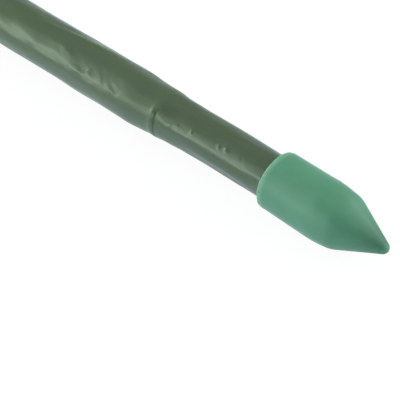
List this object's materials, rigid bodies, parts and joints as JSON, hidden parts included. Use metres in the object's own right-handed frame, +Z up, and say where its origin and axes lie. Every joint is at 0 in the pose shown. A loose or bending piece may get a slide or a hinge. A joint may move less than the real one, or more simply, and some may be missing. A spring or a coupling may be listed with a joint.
{
  "type": "coated bamboo plant stake",
  "caption": "Slim garden stake: a hollow bamboo cane in a glossy olive plastic skin that shows its nodes, with a push-on green point at its foot and a flat cap at its head.",
  "frame": {"origin": "under the middle of the stake's length, on the surface that it lies on", "axes": "+X along the stake towards its point, +Z up from the surface that it lies on, +Y across it"},
  "size_m": [0.6, 0.012, 0.012],
  "materials": {
    "bamboo": "dry cut bamboo, pale straw",
    "olive_film": "glossy dark olive extruded film with fine wrinkles",
    "green_moulding": "matte sea-green injection moulding"
  },
  "bodies": {
    "shaft": {"bamboo_cane": "bamboo", "plastic_sleeve": "olive_film"},
    "point": {"tip_cap": "green_moulding"},
    "head": {"top_cap": "green_moulding"}
  },
  "joints": [
    {"name": "tip_cap_pull", "type": "slide", "parent": "shaft", "child": "point", "axis": [1, 0, 0], "range_m": [0, 0.02]},
    {"name": "top_cap_pull", "type": "slide", "parent": "shaft", "child": "head", "axis": [-1, 0, 0], "range_m": [0, 0.019]}
  ]
}
